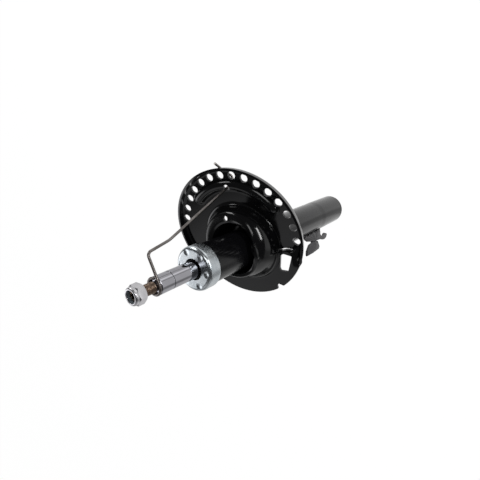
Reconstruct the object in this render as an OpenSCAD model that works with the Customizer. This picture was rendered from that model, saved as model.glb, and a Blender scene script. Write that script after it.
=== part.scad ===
// Twin-tube suspension strut with an offset spring seat, held short by a restraint wire.
// The origin is the centre of the tube's closed lower end, and +Z runs up the strut.
// +X points to the raised side of the tilted spring seat. All sizes are millimetres.

/* [Outer tube] */
// Outer diameter of the outer tube
tube_d = 49; // [47:0.5:50]
// Wall of the outer tube
tube_wall = 2; // [1.6:0.1:2.2]
// Height of the rolled-over top edge above the closed end
tube_top = 370.5; // [360:0.5:371]
// Height of the land that the knuckle clamps
clamp_land = 75; // [50:1:76]

/* [Top cap] */
// Outer diameter of the striker cap
cap_d = 52; // [51:0.5:55]
// Height of the cap's flat face
cap_top = 374.6; // [374:0.2:378]
// Depth of the cap over the tube
cap_height = 17; // [14:0.5:20]
// Diameter of the hole that the rod leaves by
cap_hole_d = 24.6; // [22:0.2:26]
// Number of pressed dimples round the hole
dimple_count = 6; // [4:1:8]

/* [Piston rod] */
// Diameter of the chromed rod
rod_d = 20; // [18:0.5:20]
// Height of the shoulder under the stud
shoulder_z = 426.8; // [424:0.2:430]
// Nominal diameter of the threaded stud
stud_d = 12; // [12:1:12]
// Height of the stud's end
stud_end_z = 453.4; // [452:0.2:454]

/* [Top nut] */
// Width of the nut across its flats
nut_flats = 19; // [18:0.5:20]
// Height of the nut's lower face
nut_bottom = 444.3; // [443:0.1:446]
// Height of the nut over its collar
nut_height = 12.5; // [11:0.5:13]

/* [Spring seat] */
// Radius of the seat's rim
rim_r = 90.5; // [88:0.5:92]
// Height of the rim's centre
rim_z = 287.2; // [286:0.2:289]
// Distance from the strut axis to the rim's centre
seat_offset = 17.6; // [16:0.2:19]
// Lean of the seat towards the strut axis
seat_tilt = 17.1; // [16:0.1:18]
// Thickness of the pressed sheet
sheet = 3; // [2.5:0.1:3]
// Depth of the spring groove below the rim
groove_depth = 8; // [7:0.5:8]
// Number of drain holes in the groove
drain_count = 15; // [8:1:15]
// Diameter of the drain holes
drain_d = 11; // [8:0.5:11]
// Radius of the ring of drain holes
drain_r = 79.7; // [79.6:0.1:79.8]

/* [Restraint wire] */
// Diameter of the wire
wire_d = 3; // [2.5:0.1:3]
// Direction of the wire's leg seen from above
wire_angle = -18.7; // [-19:0.1:-18]

/* [Damper parts] */
// Inner diameter of the pressure tube
bore_d = 32; // [32:1:32]
// Height of the piston's lower face
piston_z = 106; // [100:1:120]

/* [Hidden] */
$fn = 96;

// Clearances: parts that only touch, parts that slide, and parts that are welded
gap = 0.05;
slide_fit = 0.04;
big = 400;

tube_r = tube_d / 2;
tube_in = tube_r - tube_wall;
// The clamp land is full size, and the tube above it is turned down a little
upper_relief = 0.4;
upper_r = tube_r - upper_relief;
rod_r = rod_d / 2;
stud_r = stud_d / 2;
bore_r = bore_d / 2;

// Points on an arc about c, from angle a0 to a1 in n steps
function arc(c, r, a0, a1, n) = [
    for (i = [0:n])
        let (a = a0 + (a1 - a0) * i / n) [c[0] + r * cos(a), c[1] + r * sin(a)]
];

// A ring of rectangular section, from angle a0 to a1
module ring_sector(r0, r1, h0, h1, a0, a1) {
    rotate([0, 0, a0])
        rotate_extrude(angle = a1 - a0)
            translate([r0, h0])
                square([r1 - r0, h1 - h0]);
}

// A full ring of rectangular section
module ring(r0, r1, h0, h1) {
    translate([0, 0, h0])
        difference() {
            cylinder(r = r1, h = h1 - h0);
            translate([0, 0, -1])
                cylinder(r = r0, h = h1 - h0 + 2);
        }
}

// ---------------------------------------------------------------- outer tube

end_round = 4;
cap_step = 6;
roll_r = 3;

module strut_tube() {
    roll_c = [upper_r - roll_r, tube_top - roll_r];
    profile = concat(
        [[tube_in, cap_step + gap], [tube_r, cap_step + gap], [tube_r, clamp_land]],
        [[upper_r, clamp_land + upper_relief]],
        arc(roll_c, roll_r, 0, 90, 6),
        [[roll_c[0] - 3, tube_top], [roll_c[0] - 3, tube_top - tube_wall]],
        arc(roll_c, roll_r - tube_wall, 90, 0, 4),
        [[tube_in, tube_top - roll_r - 1]]
    );
    color([0.19, 0.19, 0.20])
        rotate_extrude()
            polygon(profile);
}

// Dished plug that closes the lower end
module bottom_cap() {
    plug_r = tube_in - gap;
    profile = concat(
        [[0, 0]],
        arc([tube_r - end_round, end_round], end_round, -90, 0, 8),
        [[tube_r, cap_step], [plug_r, cap_step], [plug_r, 10], [plug_r - 2.5, 10]],
        arc([plug_r - 5.5, 5.5], 3, 0, -90, 6),
        [[0, 2.5]]
    );
    color([0.17, 0.17, 0.18])
        rotate_extrude()
            polygon(profile);
}

// ---------------------------------------------------------------- damper inside

pressure_wall = 1.5;
valve_z = 10.5;
valve_h = 13;
pressure_bottom = valve_z + 5;
guide_z = 350;
guide_top = 364;
spigot = 6;

module pressure_tube() {
    color([0.62, 0.62, 0.64])
        ring(bore_r, bore_r + pressure_wall, pressure_bottom, guide_z + spigot - gap);
}

// Sintered body that carries the base valve, with eight oil passages
module base_valve_body() {
    spigot_r = bore_r - gap;
    foot_r = tube_in - 3;
    color([0.45, 0.45, 0.44])
        difference() {
            rotate_extrude()
                polygon([
                    [3.05, valve_z + 2], [10, valve_z + 2], [14, valve_z],
                    [foot_r, valve_z], [foot_r, valve_z + 5 - gap],
                    [spigot_r, valve_z + 5 - gap], [spigot_r, valve_z + valve_h - 3],
                    [spigot_r - 1, valve_z + valve_h - 2], [3.05, valve_z + valve_h - 2]
                ]);
            for (i = [0:7])
                rotate([0, 0, 45 * i])
                    translate([10.5, 0, valve_z - 1])
                        cylinder(d = 3, h = valve_h + 2, $fn = 24);
        }
}

// Stack of three blow-off discs under the valve body
module base_valve_discs() {
    color([0.55, 0.56, 0.58])
        for (i = [0:2])
            ring(3.05, 7 - i, valve_z + 1.3 - 0.6 * i, valve_z + 1.75 - 0.6 * i);
}

module base_valve_rivet() {
    color([0.60, 0.58, 0.52])
        union() {
            translate([0, 0, valve_z - 4.5])
                cylinder(r = 4.6, h = 4);
            translate([0, 0, valve_z - 4.5])
                cylinder(r = 3, h = valve_h + 8);
            translate([0, 0, valve_z + valve_h + 2.2])
                cylinder(r = 4.8, h = 1.6);
        }
}

// Plate that lets oil return on the rebound stroke
module intake_plate() {
    color([0.55, 0.56, 0.58])
        ring(3.3, 14, valve_z + valve_h - 1.95, valve_z + valve_h - 1.2);
}

// Dished star spring that holds the intake plate down
module intake_spring() {
    low = valve_z + valve_h - 1.1;
    high = valve_z + valve_h + 2.1;
    color([0.50, 0.50, 0.52])
        difference() {
            rotate_extrude()
                polygon([[3.2, high - 0.6], [3.2, high], [11, low + 0.6], [11, low]]);
            for (i = [0:4])
                rotate([0, 0, 72 * i])
                    translate([9.2, 0, low - 1])
                        cylinder(r = 2.2, h = 6, $fn = 32);
        }
}

// Sintered guide that centres the pressure tube and carries the bush
module rod_guide() {
    bush_out = rod_r + 1.6;
    color([0.47, 0.46, 0.44])
        difference() {
            rotate_extrude()
                polygon([
                    [bush_out, guide_z], [bore_r - gap, guide_z],
                    [bore_r - gap, guide_z + spigot], [tube_in - gap, guide_z + spigot],
                    [tube_in - gap, guide_top - 1], [tube_in - 1, guide_top],
                    [rod_r + 4, guide_top], [rod_r + 4, guide_top - 4], [bush_out, guide_top - 4]
                ]);
            for (i = [0:5])
                rotate([0, 0, 60 * i])
                    translate([19.5, 0, guide_z])
                        cylinder(d = 2.4, h = 20, $fn = 24);
        }
}

// Low-friction lined bush that the rod runs in
module guide_bush() {
    color([0.55, 0.42, 0.28])
        ring(rod_r + slide_fit, rod_r + 1.6 - 0.02, guide_z + 0.5, guide_top - 4.5);
}

// Steel washer bonded under the seal
module seal_washer() {
    color([0.50, 0.50, 0.50])
        ring(rod_r + 2.5, tube_in - 1.2, guide_top + gap, guide_top + 1.2);
}

// Rubber seal with two lips on the rod
module oil_seal() {
    lip = rod_r + 0.03;
    base = guide_top + 1.2 + gap;
    color([0.09, 0.09, 0.09])
        rotate_extrude()
            polygon([
                [lip, base + 0.2], [lip + 1.6, base + 1.2], [tube_in - 1.6, base],
                [tube_in - 1.6, tube_top - tube_wall - 0.3],
                [16, tube_top - tube_wall - 0.3], [15, tube_top + 1.2],
                [lip + 1.4, tube_top + 1.6], [lip, tube_top + 0.8],
                [lip + 1.2, tube_top - 1.2], [lip + 1.8, base + 2.2]
            ]);
}

// ---------------------------------------------------------------- top cap

cap_sheet = 1.3;
cap_round = 4.5;
dimple_ring = 20.5;
dimple_d = 6.4;
dimple_depth = 1.1;

// Zinc-plated striker cap pressed over the tube's top
module top_cap() {
    r = cap_d / 2;
    top = cap_top;
    skirt = top - cap_height;
    ball = (dimple_d * dimple_d / 4 + dimple_depth * dimple_depth) / (2 * dimple_depth);
    profile = concat(
        [[cap_hole_d / 2, top - cap_sheet], [cap_hole_d / 2, top]],
        arc([r - cap_round, top - cap_round], cap_round, 90, 0, 8),
        [[r, skirt], [r - cap_sheet, skirt]],
        arc([r - cap_round, top - cap_round], cap_round - cap_sheet, 0, 90, 8)
    );
    color([0.72, 0.75, 0.78])
        difference() {
            union() {
                rotate_extrude()
                    polygon(profile);
                for (i = [0:dimple_count - 1])
                    rotate([0, 0, i * 360 / dimple_count])
                        translate([dimple_ring, 0, top - 2])
                            cylinder(d = dimple_d + 0.6, h = 2 - cap_sheet / 2);
            }
            for (i = [0:dimple_count - 1])
                rotate([0, 0, i * 360 / dimple_count])
                    translate([dimple_ring, 0, top - dimple_depth + ball])
                        sphere(r = ball);
        }
}

// ---------------------------------------------------------------- spring seat

// The funnel stands square to the strut, and the pan and the dome are tilted
dome_u = -11.7;
dome_top = 304.4;
dome_foot_r = 54.4;
// Outer surface of the dome: distance from its axis, height over the rim, lean of the sheet
dome_course = [
    [dome_foot_r, -40, 0], [dome_foot_r, -6, 5], [52.9, 2, 18],
    [50.6, 7, 32], [47.6, 10.6, 45], [17.6, 40.6, 45]
];
funnel_x = 3;
funnel_mouth_r = 33.8;
funnel_throat_r = 28.3;
funnel_floor = 266;
collar_low = 258;

groove_top = -groove_depth;
groove_under = -groove_depth - sheet;
bend_r = 5;
groove_start = -132;
groove_end = 114;
ramp_hinge = 110;
ramp_lean = 6.1;
step_angle = -126;
step_r = 79;

drain_first = 55.2;
drain_step = 12.27;

ridge_r = 67;
ridge_half = 7;
ridge_base = groove_top - 1;
ridge_from = -78;
ridge_to = 23;
wire_hole_r = 65;
wire_hole_angle = -23;
wire_hole_d = 8;
dome_hole_angle = -13;
dome_hole_r = 38;
dome_hole_d = 6.5;

// Moves its children from the rim's own frame to the strut's frame
module in_seat() {
    translate([seat_offset, 0, rim_z])
        rotate([0, -seat_tilt, 0])
            children();
}

// Section of the groove's floor, its bend and the upturned lip
module groove_section() {
    inner = 25;
    bend_c = [rim_r - bend_r, groove_under + bend_r];
    translate([inner, groove_under])
        square([bend_c[0] - inner, sheet]);
    translate([rim_r - sheet, bend_c[1]])
        square([sheet, -bend_c[1]]);
    difference() {
        intersection() {
            translate(bend_c)
                circle(r = bend_r);
            translate([bend_c[0], groove_under])
                square(bend_r);
        }
        translate(bend_c)
            circle(r = bend_r - sheet);
    }
}

// Spring groove, open where its floor ends beside the ramp
module groove() {
    difference() {
        rotate([0, 0, groove_start])
            rotate_extrude(angle = groove_end - groove_start)
                groove_section();
        translate([0, 0, groove_under - 5])
            linear_extrude(20)
                polygon([
                    [-20, -22], [-37.5, -40.5], [-37.2, -50.1], [-43.4, -61], [-44.2, -65.2],
                    [-39.8, -68.4], [-44.7, -75], [-48.8, -72.4], [-53.7, -68.8], [-59.5, -63.8],
                    [-70, -60], [-60, -10]
                ]);
    }
}

// Short steep step that joins the groove to the ramp's high end
module rim_step() {
    rotate([0, 0, step_angle])
        translate([step_r, 0, 0])
            rotate([90, 0, 90])
                linear_extrude(rim_r - step_r - 0.4)
                    polygon([
                        [9, groove_under + 0.3], [9, groove_top - 0.3], [-9, 0.1], [-13, 0.1],
                        [-13, -sheet + 0.5], [-7, -sheet + 0.3]
                    ]);
}

// Flat ramp from the groove up to the spring's stop, with its free edge and its window
module ramp() {
    far = 2 * rim_r;
    translate([0, 0, groove_top])
        rotate([0, 0, ramp_hinge])
            rotate([ramp_lean, 0, 0])
                translate([0, 0, -sheet])
                    linear_extrude(sheet)
                        rotate(-ramp_hinge)
                            difference() {
                                intersection() {
                                    circle(r = rim_r - 0.1);
                                    polygon([
                                        [10, 0], [-20, -12], [-48, -26], [-42, -41],
                                        [-41.3, -52], [-46, -66], [-59.6, -68.6],
                                        [-far, -far], [-far, far],
                                        [far * cos(ramp_hinge) + 12, far * sin(ramp_hinge)]
                                    ]);
                                }
                                polygon([
                                    [-44.5, -45], [-43.6, -49.3], [-49.4, -59], [-57.6, -52.4],
                                    [-68.3, -43.4], [-64.8, -34], [-61.2, -34], [-60.6, -36]
                                ]);
                                polygon([
                                    [-97, -12.5], [-89.8, -15.3], [-84, -17.2], [-81.5, -21],
                                    [-84, -24.6], [-86, -27.5], [-95, -33]
                                ]);
                            }
}

// Crescent of round section with rounded ends, cut off level at its foot
module crescent(r, foot) {
    rotate([0, 0, ridge_from])
        rotate_extrude(angle = ridge_to - ridge_from)
            translate([ridge_r, ridge_base])
                intersection() {
                    circle(r = r);
                    translate([-r - 1, foot])
                        square(2 * r + 2);
                }
    for (a = [ridge_from, ridge_to])
        rotate([0, 0, a])
            translate([ridge_r, 0, ridge_base])
                intersection() {
                    sphere(r = r + 0.02);
                    translate([-r - 1, -r - 1, foot + 0.05])
                        cube(2 * r + 2);
                }
}

module drain_holes() {
    for (i = [0:drain_count - 1])
        rotate([0, 0, drain_first - i * drain_step])
            translate([drain_r, 0, groove_under - 4])
                cylinder(d = drain_d, h = 10);
}

// The whole pan, before the dome is cut out of it
module pan() {
    difference() {
        union() {
            groove();
            ramp();
            rim_step();
            crescent(ridge_half, groove_under - ridge_base + 0.1);
        }
        crescent(ridge_half - sheet + 0.1, -ridge_half);
        drain_holes();
        rotate([0, 0, wire_hole_angle])
            translate([wire_hole_r, 0, -20])
                cylinder(d = wire_hole_d, h = 30);
    }
}

// Solid dome, with its surface moved in by t
module dome_body(t) {
    intersection() {
        in_seat()
            translate([dome_u, 0, 0])
                rotate_extrude()
                    polygon(concat(
                        [for (p = dome_course) [p[0] - t * cos(p[2]), p[1] - t * sin(p[2])]],
                        [[0, 40], [0, -40]]
                    ));
        translate([-100, -100, 200])
            cube([200, 200, dome_top - t - 200]);
    }
}

// Funnel that drops from the dome's mouth to the tube, with its surface moved out by t
module funnel_body(t, top) {
    translate([funnel_x, 0, 0])
        rotate_extrude()
            polygon([
                [0, funnel_floor + sheet - t], [funnel_throat_r + t, funnel_floor + sheet - t],
                [funnel_mouth_r - 1.8 + t, 297], [funnel_mouth_r + t, dome_top - 1],
                [funnel_mouth_r + t, top], [0, top]
            ]);
}

// Pressed and welded seat for the coil spring
module spring_seat() {
    color([0.035, 0.035, 0.04])
        difference() {
            union() {
                difference() {
                    in_seat()
                        pan();
                    dome_body(sheet);
                }
                // Dome, trimmed level with the underside of the pan
                difference() {
                    intersection() {
                        dome_body(0);
                        in_seat()
                            translate([0, 0, groove_under + 0.2])
                                cylinder(r = 130, h = 90);
                    }
                    dome_body(sheet);
                }
                intersection() {
                    funnel_body(sheet, dome_top + 5);
                    translate([0, 0, funnel_floor])
                        cylinder(r = 60, h = dome_top - 0.2 - funnel_floor);
                }
                translate([0, 0, collar_low])
                    cylinder(r = upper_r + 0.2 + sheet, h = funnel_floor - collar_low + 1);
            }
            funnel_body(0, dome_top + 20);
            translate([0, 0, collar_low - 1])
                cylinder(r = upper_r + 0.2, h = 30);
            translate([5, 0, 0])
                rotate([0, 0, dome_hole_angle])
                    translate([dome_hole_r, 0, dome_top - 8])
                        cylinder(d = dome_hole_d, h = 12);
        }
}

// Fillet weld between the seat's collar and the tube
module seat_weld() {
    leg = 3.2;
    r0 = upper_r + gap;
    color([0.06, 0.06, 0.065])
        rotate_extrude()
            polygon(concat(
                [[r0, collar_low - gap]],
                arc([r0, collar_low - gap], leg, -90, 0, 6)
            ));
}

// ---------------------------------------------------------------- brackets

bracket_angle = -172;
hose_t = 2.5;
lead_t = 4;
bracket_root = upper_r + 0.2;
weld_gaps = [95.9, 112.9, 125.3];

// A flat plate that stands out from the tube; outline is [radius, height]
module standing_plate(outline, t, side) {
    rotate([0, 0, bracket_angle])
        translate([0, side, 0])
            rotate([90, 0, 0])
                linear_extrude(t, center = true)
                    polygon(outline);
}

// Plate with an open hook that the brake hose drops into
module hose_bracket() {
    outline = concat(
        [[bracket_root, 134.8]],
        arc([30, 132], 3.2, 90, 10, 4),
        [[36.6, 119.7], [39.8, 102.7], [40.6, 88.7], [43.4, 81]],
        [[44.2, 76], [42.8, 68], [39.4, 61.2], [37, 60.8], [33.9, 69.1]],
        arc([34.6, 78.6], 3.2, -35, 145, 8),
        [[29.5, 77.6], [bracket_root, 75.5]]
    );
    color([0.20, 0.20, 0.21])
        difference() {
            standing_plate(outline, hose_t, 0);
            for (z = weld_gaps)
                rotate([0, 0, bracket_angle])
                    translate([bracket_root + 0.4, 0, z])
                        rotate([90, 0, 0])
                            cylinder(r = 2.2, h = 10, center = true);
        }
}

// Thick tab with rounded corners, welded behind the hose bracket
module lead_bracket() {
    outline = concat(
        [[39.6, 125.2], [38.4, 113], [33.5, 112], [33.5, 101], [40.4, 100.5]],
        arc([45.5, 100.6], 4.6, 200, 270, 4),
        arc([49.2, 101.2], 5.0, 280, 350, 4),
        [[54.5, 108], [54.6, 128], [54.2, 148.2], [46.6, 140.2]]
    );
    color([0.20, 0.20, 0.21])
        standing_plate(outline, lead_t, -(hose_t + lead_t) / 2 - gap);
}

// Fillet welds that hold the hose bracket, stopped at the gaps
module bracket_welds() {
    edge = hose_t / 2 + gap;
    runs = [[77, 92], [100, 109.5], [116.5, 122], [128.5, 133.5]];
    color([0.17, 0.17, 0.18])
        for (run = runs)
            for (side = [0, 1])
                rotate([0, 0, bracket_angle])
                    mirror([0, side, 0])
                        translate([0, 0, run[0]])
                            linear_extrude(run[1] - run[0])
                                polygon([
                                    [upper_r + 0.12, edge], [upper_r + 2.7, edge],
                                    [upper_r + 1.5, edge + 1.5], [upper_r - 0.1, edge + 3]
                                ]);
}

// ---------------------------------------------------------------- rod and piston

piston_h = 14;
rod_pin_r = 6;
groove_z = 409.8;
socket_flats = 6;

// Chromed rod, turned down at both ends, with a hex socket in the stud's end
module piston_rod() {
    chamfer = 1;
    body_low = piston_z + piston_h + 2.2;
    profile = [
        [0, piston_z - 13], [rod_pin_r - 1, piston_z - 13], [rod_pin_r, piston_z - 12],
        [rod_pin_r, body_low], [rod_r - chamfer, body_low], [rod_r, body_low + chamfer],
        [rod_r, groove_z - 0.8], [rod_r - 0.5, groove_z - 0.4], [rod_r - 0.5, groove_z + 0.4],
        [rod_r, groove_z + 0.8], [rod_r, shoulder_z - chamfer], [rod_r - chamfer, shoulder_z],
        [stud_r - 0.9, shoulder_z], [stud_r - 0.9, shoulder_z + 0.9],
        [stud_r, shoulder_z + 1.8], [stud_r, stud_end_z - chamfer],
        [stud_r - chamfer, stud_end_z], [0, stud_end_z]
    ];
    color([0.80, 0.81, 0.83])
        difference() {
            rotate_extrude()
                polygon(profile);
            translate([0, 0, stud_end_z - 7])
                cylinder(d = socket_flats / cos(30), h = 8, $fn = 6);
        }
}

// Sintered piston with two rings of slanting-free oil passages
module piston() {
    r = bore_r - 0.4;
    band_in = r - 1.2;
    color([0.40, 0.40, 0.39])
        difference() {
            rotate_extrude()
                polygon([
                    [rod_pin_r + gap, piston_z], [r, piston_z], [r, piston_z + 2.5],
                    [band_in, piston_z + 2.5], [band_in, piston_z + piston_h - 2.5],
                    [r, piston_z + piston_h - 2.5], [r, piston_z + piston_h],
                    [rod_pin_r + gap, piston_z + piston_h]
                ]);
            for (i = [0:7])
                rotate([0, 0, 45 * i])
                    translate([i % 2 == 0 ? 10.5 : 12, 0, piston_z - 1])
                        cylinder(d = 2.6, h = piston_h + 2, $fn = 24);
        }
}

// Plastic band that slides in the pressure tube
module piston_band() {
    color([0.16, 0.22, 0.18])
        ring(bore_r - 1.6 + slide_fit, bore_r - slide_fit, piston_z + 2.6, piston_z + piston_h - 2.6);
}

module compression_discs() {
    color([0.58, 0.59, 0.61])
        for (i = [0:2])
            ring(rod_pin_r + gap, 13.5 - 2 * i, piston_z + piston_h + gap + 0.7 * i,
                piston_z + piston_h + 0.6 + 0.7 * i);
}

module rebound_discs() {
    color([0.58, 0.59, 0.61])
        for (i = [0:2])
            ring(rod_pin_r + gap, 13 - 2 * i, piston_z - 0.65 - 0.7 * i, piston_z - gap - 0.7 * i);
}

module piston_nut() {
    top = piston_z - 2.2;
    color([0.45, 0.44, 0.40])
        difference() {
            union() {
                translate([0, 0, top - 8])
                    cylinder(d = 17 / cos(30), h = 7, $fn = 6);
                translate([0, 0, top - 1])
                    cylinder(r = 8.3, h = 1);
            }
            translate([0, 0, top - 9])
                cylinder(r = rod_pin_r + gap, h = 12);
        }
}

stop_z = 170;

// Steel ring swaged on the rod, which ends the outward stroke
module rebound_stop() {
    color([0.55, 0.55, 0.56])
        ring(rod_r + gap, 14, stop_z, stop_z + 5);
}

// Plastic buffer that meets the rod guide at full stroke
module rebound_buffer() {
    color([0.12, 0.12, 0.13])
        difference() {
            ring(rod_r + gap, 14.6, stop_z + 5 + gap, stop_z + 14);
            for (i = [0:5])
                rotate([0, 0, 60 * i])
                    translate([15.4, 0, stop_z + 4])
                        cylinder(r = 1.8, h = 12, $fn = 24);
        }
}

// ---------------------------------------------------------------- nut and wire

collar_h = 3.3;

// Hexagon lock nut with a round collar over its plastic insert
module top_nut() {
    hex_r = nut_flats / 2 / cos(30);
    hex_top = nut_bottom + nut_height - collar_h;
    insert_r = 7.3;
    top = nut_bottom + nut_height;
    color([0.74, 0.77, 0.80])
        difference() {
            union() {
                intersection() {
                    translate([0, 0, nut_bottom])
                        cylinder(r = hex_r, h = hex_top - nut_bottom, $fn = 6);
                    // The chamfer rounds off the hexagon's corners at both ends
                    rotate_extrude()
                        polygon([
                            [0, nut_bottom], [nut_flats / 2 - 0.1, nut_bottom],
                            [hex_r + 0.3, nut_bottom + 1], [hex_r + 0.3, hex_top - 1],
                            [nut_flats / 2 - 0.1, hex_top], [0, hex_top]
                        ]);
                }
                rotate_extrude()
                    polygon(concat(
                        [[0, hex_top - 1], [8.7, hex_top - 1]],
                        arc([7.2, top - 1.5], 1.5, 0, 90, 5),
                        [[0, top]]
                    ));
            }
            translate([0, 0, nut_bottom - 1])
                cylinder(r = stud_r + slide_fit, h = nut_height + 2);
            translate([0, 0, hex_top - 0.6])
                cylinder(r = insert_r, h = collar_h - 0.6);
        }
}

// Plastic ring that locks the nut
module nut_insert() {
    low = nut_bottom + nut_height - collar_h - 0.6 + gap;
    color([0.82, 0.84, 0.86])
        ring(stud_r + slide_fit, 7.3 - slide_fit, low, low + 2.5);
}

// The wire's leg from the eye to the hook's tip: [distance from the axis, height, bend radius]
eye_r = 8.75;
eye_z = shoulder_z + wire_d / 2 + 0.1;
leg_route = [
    [eye_r, eye_z, 0], [32.3, eye_z, 5], [82.9, 290.3, 5],
    [93, 287.6, 5], [108.6, 303, 5], [112.6, 318.5, 0]
];

// Length of straight bar that the bend at corner i takes up
function bend_cut(i) =
    i <= 0 || i >= len(leg_route) - 1 ? 0 : leg_route[i][2] * tan(abs(leg_turn(i)) / 2);

// Direction of the bar that leaves corner i, and the turn at corner i
function leg_dir(i) =
    atan2(leg_route[i + 1][1] - leg_route[i][1], leg_route[i + 1][0] - leg_route[i][0]);
function leg_turn(i) = leg_dir(i) - leg_dir(i - 1);
function flat(p) = [p[0], p[1]];

// Steel wire: an eye round the stud, a sloping leg and a hook under the seat
module restraint_wire() {
    eye_open = 30;
    color([0.42, 0.40, 0.37])
        rotate([0, 0, wire_angle])
            union() {
                // Eye, with its cut end turned away from the leg
                translate([0, 0, eye_z]) {
                    rotate_extrude(angle = 360 - eye_open)
                        translate([eye_r, 0])
                            circle(d = wire_d);
                    rotate([0, 0, -eye_open])
                        translate([eye_r, 0, 0])
                            sphere(d = wire_d + 0.06);
                }
                // Straight bars
                for (i = [0:len(leg_route) - 2]) {
                    d = leg_dir(i);
                    p = flat(leg_route[i]) + bend_cut(i) * [cos(d), sin(d)];
                    q = flat(leg_route[i + 1]) - bend_cut(i + 1) * [cos(d), sin(d)];
                    translate([p[0], 0, p[1]])
                        rotate([0, 90 - d, 0])
                            cylinder(d = wire_d, h = norm(q - p));
                    for (e = [p, q])
                        translate([e[0], 0, e[1]])
                            sphere(d = wire_d + 0.06);
                }
                // Bends
                for (i = [1:len(leg_route) - 2]) {
                    side = leg_turn(i) > 0 ? 1 : -1;
                    d = leg_dir(i - 1);
                    p = flat(leg_route[i]) - bend_cut(i) * [cos(d), sin(d)];
                    c = p + side * leg_route[i][2] * [-sin(d), cos(d)];
                    translate([c[0], 0, c[1]])
                        rotate([90, 0, 0])
                            rotate([0, 0, side > 0 ? d - 90 : d + 90 + leg_turn(i)])
                                rotate_extrude(angle = abs(leg_turn(i)))
                                    translate([leg_route[i][2], 0])
                                        circle(d = wire_d);
                }
            }
}

strut_tube();
bottom_cap();
pressure_tube();
base_valve_body();
base_valve_discs();
base_valve_rivet();
intake_plate();
intake_spring();
rod_guide();
guide_bush();
oil_seal();
seal_washer();
top_cap();
spring_seat();
seat_weld();
hose_bracket();
lead_bracket();
bracket_welds();
piston_rod();
piston();
piston_band();
compression_discs();
rebound_discs();
piston_nut();
rebound_stop();
rebound_buffer();
top_nut();
nut_insert();
restraint_wire();
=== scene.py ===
import bpy
import bmesh
import math
from mathutils import Matrix, Vector


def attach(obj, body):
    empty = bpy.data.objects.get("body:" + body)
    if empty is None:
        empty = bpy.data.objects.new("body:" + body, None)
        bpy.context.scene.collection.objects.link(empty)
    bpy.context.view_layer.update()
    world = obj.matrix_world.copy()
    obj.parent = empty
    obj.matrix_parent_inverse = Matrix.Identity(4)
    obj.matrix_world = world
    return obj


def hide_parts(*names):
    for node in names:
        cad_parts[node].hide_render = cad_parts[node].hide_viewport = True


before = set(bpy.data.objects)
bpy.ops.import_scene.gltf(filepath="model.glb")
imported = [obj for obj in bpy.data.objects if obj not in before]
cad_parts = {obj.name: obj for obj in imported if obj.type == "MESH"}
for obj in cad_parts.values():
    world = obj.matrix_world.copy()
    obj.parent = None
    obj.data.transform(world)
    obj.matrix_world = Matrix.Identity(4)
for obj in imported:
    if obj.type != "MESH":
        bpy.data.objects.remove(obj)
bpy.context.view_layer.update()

# ---------------------------------------------------------------- outer tube
# The strut's outer tube is drawn steel, turned down a little above the land that the
# knuckle clamps, and rolled over at the top. It is painted satin black after welding.

MM = 0.001
MERGE = 0.00001


def nothing_selected():
    if bpy.context.object and bpy.context.object.mode != "OBJECT":
        bpy.ops.object.mode_set(mode="OBJECT")
    bpy.ops.object.select_all(action="DESELECT")


def only(obj):
    nothing_selected()
    obj.select_set(True)
    bpy.context.view_layer.objects.active = obj


def named(name):
    made = bpy.context.object
    made.name = name
    made.data.name = name
    return made


# Merges the points of the active mesh that coincide, and turns its faces outwards
def faces_outwards(merge=None):
    bpy.ops.object.mode_set(mode="EDIT")
    bpy.ops.mesh.select_all(action="SELECT")
    if merge:
        bpy.ops.mesh.remove_doubles(threshold=merge)
    bpy.ops.mesh.normals_make_consistent(inside=False)
    bpy.ops.object.mode_set(mode="OBJECT")


# Shades a piece smooth, except over edges that turn by more than an angle in degrees
def smooth(obj, sharp_from):
    only(obj)
    bpy.ops.object.shade_smooth_by_angle(angle=math.radians(sharp_from))


# A list of corners (x, y, radius), or (x, y, z, radius), with each corner rounded to its radius
def rounded(corners, step=12):
    nearly_straight = 0.01
    points = [Vector(c[:-1]).to_3d() for c in corners]
    line = []
    for i, here in enumerate(points):
        radius = corners[i][-1]
        if radius == 0 or i in (0, len(points) - 1):
            line.append(here)
            continue
        back = (points[i - 1] - here).normalized()
        ahead = (points[i + 1] - here).normalized()
        turn = math.pi - back.angle(ahead)
        if turn < nearly_straight:
            line.append(here)
            continue
        reach = radius * math.tan(turn / 2)
        middle = (back + ahead).normalized()
        centre = here + middle * math.hypot(reach, radius)
        first = (here + back * reach - centre).normalized()
        last = (here + ahead * reach - centre).normalized()
        count = max(2, int(math.degrees(turn) / step))
        for k in range(count + 1):
            line.append(centre + first.slerp(last, k / count).normalized() * radius)
    return line


def section_of(corners):
    return [(p.x, p.y) for p in rounded(corners)]


# Long straight runs get a point near each end, so that a round beside one keeps to itself
def supported(section):
    long_run, reach = 3.0, 0.4
    line = []
    for i, (here, there) in enumerate(zip(section, section[1:] + section[:1])):
        line.append(here)
        run = math.dist(here, there)
        if run > long_run and i < len(section) - 1:
            for w in (reach / run, 1 - reach / run):
                line.append((here[0] + (there[0] - here[0]) * w,
                             here[1] + (there[1] - here[1]) * w))
    return line


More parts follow.
